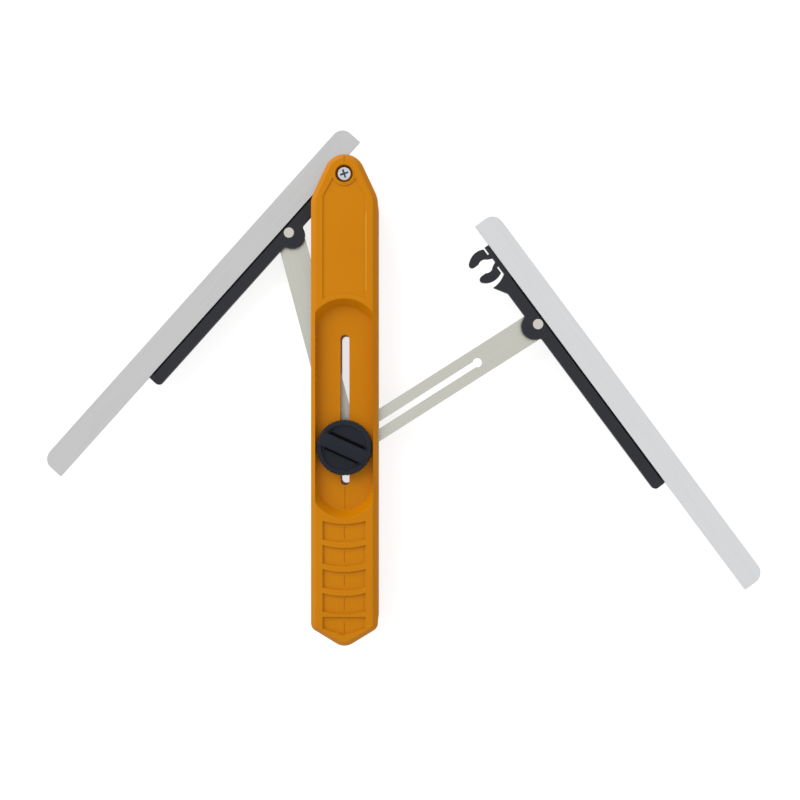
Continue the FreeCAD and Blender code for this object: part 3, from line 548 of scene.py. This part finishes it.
# Nearly black strips of painted shade, one on each side of the finger bar.
upper_shade_strip = shape_bar(
    KNOB_CENTRE, BAR_TURN, half_each_way(SHADE_STRIP_LENGTH), (BAR_HALF, BAR_HALF + SHADE_STRIP_WIDTH),
    DISH_FLOOR - SHADE_STRIP_SINK, DISH_FLOOR + SHADE_STRIP_RISE, SHADE_STRIP_ROUNDING)
lower_shade_strip = copy_of(upper_shade_strip, (KNOB_X * 2, KNOB_Y * 2, 0.0), math.pi)
settle(upper_shade_strip, "knob_painted_shade_upper", "knob", KNOB_SHADE)
settle(lower_shade_strip, "knob_painted_shade_lower", "knob", KNOB_SHADE)

# %% [markdown]
# A dark line of painted shade runs down each carrier, where its strip ends beside the ruler:
# it stands for the shadow in the gap there. It is a hair-thin bar, nearly flush, so that the
# links can still pass over it.

# %% Painted shade lines of the carriers
LINE_RUN = (13.0 * MM, 150.5 * MM)
LINE_FROM_EDGE = (7.35 * MM, 7.95 * MM)
RIGHT_HOOK = (76.8 * MM, -48.1 * MM)
SHADE_LINE_SINK = 0.3 * MM
SHADE_LINE_RISE = 0.05 * MM
SHADE_LINE_ROUNDING = 0.04 * MM
CARRIER_SHADE_LINES = (
    ("left_carrier_painted_shade", "left_arm", "left_carrier", (0.0, 0.0), RULER_TURNS["left_ruler"], -1.0),
    ("right_carrier_painted_shade", "right_arm", "right_carrier", RIGHT_HOOK, RULER_TURNS["right_ruler"], 1.0))
for name, body, carrier, hook, turn, side in CARRIER_SHADE_LINES:
    sides = sorted(side * edge for edge in LINE_FROM_EDGE)
    face = top_of(carrier)
    shade_line = shape_bar(
        hook, turn, LINE_RUN, sides, face - SHADE_LINE_SINK, face + SHADE_LINE_RISE, SHADE_LINE_ROUNDING)
    settle(shade_line, name, body, KNOB_SHADE)

# %% [markdown]
# The pivot screw's pan head has a rounded rim and a cross recess. A disc gets its rim rounded
# and is then cut by two bars that cross. Two dark bars lie at the bottom of the cut, because
# so deep a recess shows hardly any light.

# %% Pivot screw's face
HEAD_RADIUS = 3.6 * MM
HEAD_RISE = 0.55 * MM
CROSS_LENGTH = 4.6 * MM
CROSS_WIDTH = 1.05 * MM
CROSS_TURN = math.radians(20)
CUT_LIFT = HEAD_RISE * 0.7
CUT_TALL = HEAD_RISE * 1.8
RIM_ROUNDING = HEAD_RISE * 0.85


def cut_away(piece, tool):
    modifier = piece.modifiers.new("cut", "BOOLEAN")
    modifier.operation = "DIFFERENCE"
    modifier.solver = "EXACT"
    modifier.object = tool
    start_fresh()
    bpy.context.view_layer.objects.active = piece
    bpy.ops.object.modifier_apply(modifier=modifier.name)
    bpy.data.objects.remove(tool, do_unlink=True)


def screw_face(name, centre, top, body):
    start_fresh()
    bpy.ops.mesh.primitive_cylinder_add(
        vertices=64, radius=HEAD_RADIUS, depth=HEAD_RISE * 2, location=(centre[0], centre[1], top))
    head = bpy.context.object
    bpy.ops.object.transform_apply(location=True, rotation=True, scale=True)
    apply_bevel(head, RIM_ROUNDING, segments=4)
    for quarter in range(2):
        start_fresh()
        bpy.ops.mesh.primitive_cube_add(
            size=1.0, rotation=(0.0, 0.0, CROSS_TURN + quarter * math.pi / 2),
            location=(centre[0], centre[1], top + CUT_LIFT))
        arm = bpy.context.object
        arm.scale = (CROSS_LENGTH, CROSS_WIDTH, CUT_TALL)
        bpy.ops.object.transform_apply(location=True, rotation=True, scale=True)
        cut_away(head, arm)
    return settle(head, name, body, CHROME)


PIVOT_TOP = top_of("pivot_screw")
screw_face("pivot_screw_face", middle("pivot_screw"), PIVOT_TOP, "casing")
RECESS_PLAY = 0.08 * MM
RECESS_SINK = 0.3 * MM
RECESS_ROUNDING = 0.04 * MM
BETWEEN_BARS = 0.3
for number in range(2):
    dark_bar = shape_bar(
        (0.0, 0.0), CROSS_TURN + number * math.pi / 2, half_each_way(CROSS_LENGTH),
        half_each_way(CROSS_WIDTH - RECESS_PLAY * 2), PIVOT_TOP - RECESS_SINK,
        PIVOT_TOP + RECESS_PLAY * (1 - number * BETWEEN_BARS), RECESS_ROUNDING)
    settle(dark_bar, "pivot_screw_recess_%d" % number, "casing", RECESS_SHADE)

# %% [markdown]
# The sunk panel below the pivot has a rounded lip down each long side, which catches the
# light on the right. Two slim bars with well rounded edges stand a hair above the face; the
# right one is a paler orange, a painted highlight for that light.

# %% Lips of the sunk panel
PANEL_HALF = 11.5 * MM
LIP_SIZE = 0.5 * MM
LIP_RUN = (-62.5 * MM, -20.5 * MM)
PANEL_LIP_SINK = 0.4 * MM
PANEL_LIP_RISE = 0.07 * MM
PANEL_LIP_ROUNDING = 0.22 * MM
for name, side, finish in (("panel_lip_left", -1.0, ORANGE), ("panel_lip_right", 1.0, HIGHLIGHT_ORANGE)):
    sides = sorted((-side * PANEL_HALF, -side * (PANEL_HALF + LIP_SIZE)))
    panel_lip = shape_bar(
        (0.0, 0.0), math.pi / 2, LIP_RUN, sides,
        FACE_TOP - PANEL_LIP_SINK, FACE_TOP + PANEL_LIP_RISE, PANEL_LIP_ROUNDING)
    settle(panel_lip, name, "casing", finish)

# %% [markdown]
# A peened rivet has a shallow dimple. A flat disc's top is inset once for the ring, then
# again with a small drop for the dimple, and the edges are bevelled. The disc is modelled
# once, on the left rivet, and copied to the right one.

# %% Rivet faces
RIVET_RADIUS = 2.8 * MM
RIVET_RISE = 0.18 * MM
RING_WIDTH = RIVET_RADIUS * 0.42
DIMPLE_SLOPE = RIVET_RADIUS * 0.14
DIMPLE_DEPTH = RIVET_RISE * 0.8
RIVET_ROUNDING = RIVET_RISE * 0.6
UPWARD = 0.9


def rivet_face(centre, top):
    start_fresh()
    bpy.ops.mesh.primitive_cylinder_add(
        vertices=48, radius=RIVET_RADIUS, depth=RIVET_RISE * 2, location=(centre[0], centre[1], top))
    disc = bpy.context.object
    bpy.ops.object.transform_apply(location=True, rotation=True, scale=True)
    bpy.ops.object.mode_set(mode="EDIT")
    bpy.ops.mesh.select_all(action="DESELECT")
    bpy.ops.object.mode_set(mode="OBJECT")
    for face in disc.data.polygons:
        face.select = face.normal.z > UPWARD
    bpy.ops.object.mode_set(mode="EDIT")
    bpy.ops.mesh.inset(thickness=RING_WIDTH, depth=0.0)
    bpy.ops.mesh.inset(thickness=DIMPLE_SLOPE, depth=-DIMPLE_DEPTH)
    bpy.ops.object.mode_set(mode="OBJECT")
    apply_bevel(disc, RIVET_ROUNDING, segments=3)
    return disc


LEFT_TOP = top_of("left_rivet")
RIGHT_TOP = top_of("right_rivet")
left_face = rivet_face(LEFT_RIVET, LEFT_TOP)
right_face = copy_of(
    left_face,
    (RIGHT_RIVET[0] - LEFT_RIVET[0], RIGHT_RIVET[1] - LEFT_RIVET[1], RIGHT_TOP - LEFT_TOP))
settle(left_face, "left_rivet_face", "left_arm", RIVET)
settle(right_face, "right_rivet_face", "right_arm", RIVET)

# %% [markdown]
# The floor is a wide pale sheet. Its material glows a little for rays that come straight from
# the camera or off a mirror, so that it reads as white paper and still takes the shadows.


# %% Floor
FLOOR_GLOW = 0.74
FLOOR_GREY = (0.42, 0.42, 0.42, 1.0)
FLOOR_SIZE = 6.0
FLOOR_DROP = 0.05 * MM


def pale_floor():
    material, tree, shader = new_material("pale_floor", specular=0.1)
    shader.inputs["Base Color"].default_value = FLOOR_GREY
    shader.inputs["Roughness"].default_value = 0.9
    shader.inputs["Emission Color"].default_value = (1.0, 1.0, 1.0, 1.0)
    rays = add_node(tree, "ShaderNodeLightPath")
    either = add_node(tree, "ShaderNodeMath", operation="MAXIMUM")
    link(tree, rays.outputs["Is Camera Ray"], either.inputs[0])
    link(tree, rays.outputs["Is Glossy Ray"], either.inputs[1])
    link(tree, multiply(tree, either.outputs[0], FLOOR_GLOW), shader.inputs["Emission Strength"])
    start_fresh()
    bpy.ops.mesh.primitive_plane_add(size=FLOOR_SIZE, location=(0.0, 0.0, CAD_BOX[0][2] - FLOOR_DROP))
    floor = bpy.context.object
    floor.name = "floor"
    floor.data.materials.append(material)


pale_floor()

# %% [markdown]
# Soft light falls from the upper left, as in a photographer's tent, and an even white world
# fills the rest. Mirrors see only the white tent and not the lamp, so that the bare rulers
# keep their grey from every side. Together they light a white card to about white.


# %% Light
def soft_light(name, place, size, power, aim):
    lamp = bpy.data.lights.new(name, "AREA")
    lamp.shape = "DISK"
    lamp.size = size
    lamp.energy = power
    lamp_object = bpy.data.objects.new(name, lamp)
    bpy.context.scene.collection.objects.link(lamp_object)
    lamp_object.location = place
    lamp_object.visible_glossy = False
    away = [place[axis] - aim[axis] for axis in range(3)]
    flat = math.hypot(away[0], away[1])
    lamp_object.rotation_euler = (math.atan2(flat, away[2]), 0.0, math.atan2(away[1], away[0]) + math.pi / 2)


CENTRE_X = 29.92 * MM
CENTRE_Y = -121.3 * MM
KEY_PLACE = (-0.95, 0.85, 0.95)
KEY_SIZE = 1.6
KEY_POWER = 17.5
soft_light("key", KEY_PLACE, KEY_SIZE, KEY_POWER, (CENTRE_X, CENTRE_Y, 0.0))

TENT_LIGHT = 0.74
TENT_SEEN = 1.0
world = bpy.data.worlds.new("white_tent")
bpy.context.scene.world = world
world.use_nodes = True
sky = world.node_tree
background = sky.nodes["Background"]
background.inputs["Color"].default_value = (1.0, 1.0, 1.0, 1.0)
sky_rays = add_node(sky, "ShaderNodeLightPath")
seen = add_node(sky, "ShaderNodeMath", operation="MAXIMUM")
link(sky, sky_rays.outputs["Is Camera Ray"], seen.inputs[0])
link(sky, sky_rays.outputs["Is Glossy Ray"], seen.inputs[1])
link(sky, remap(sky, seen.outputs[0], 0.0, 1.0, TENT_LIGHT, TENT_SEEN), background.inputs["Strength"])

# %% [markdown]
# The camera hangs straight above the arms' plane. The casing's front, nearer to the camera,
# shows a little larger than the arms do, and that sets the camera's height.

# %% Camera
ARM_PLANE = 14.0 * MM
CAMERA_HEIGHT = 444.0 * MM
VIEW_WIDTH = 440.0 * MM
camera_data = bpy.data.cameras.new("camera")
camera_data.sensor_fit = "HORIZONTAL"
camera_data.angle = 2 * math.atan(VIEW_WIDTH / 2 / CAMERA_HEIGHT)
camera_data.clip_start = 0.01
camera = bpy.data.objects.new("camera", camera_data)
bpy.context.scene.collection.objects.link(camera)
camera.location = (CENTRE_X, CENTRE_Y, ARM_PLANE + CAMERA_HEIGHT)
bpy.context.scene.camera = camera
bpy.context.scene.view_settings.view_transform = "Standard"
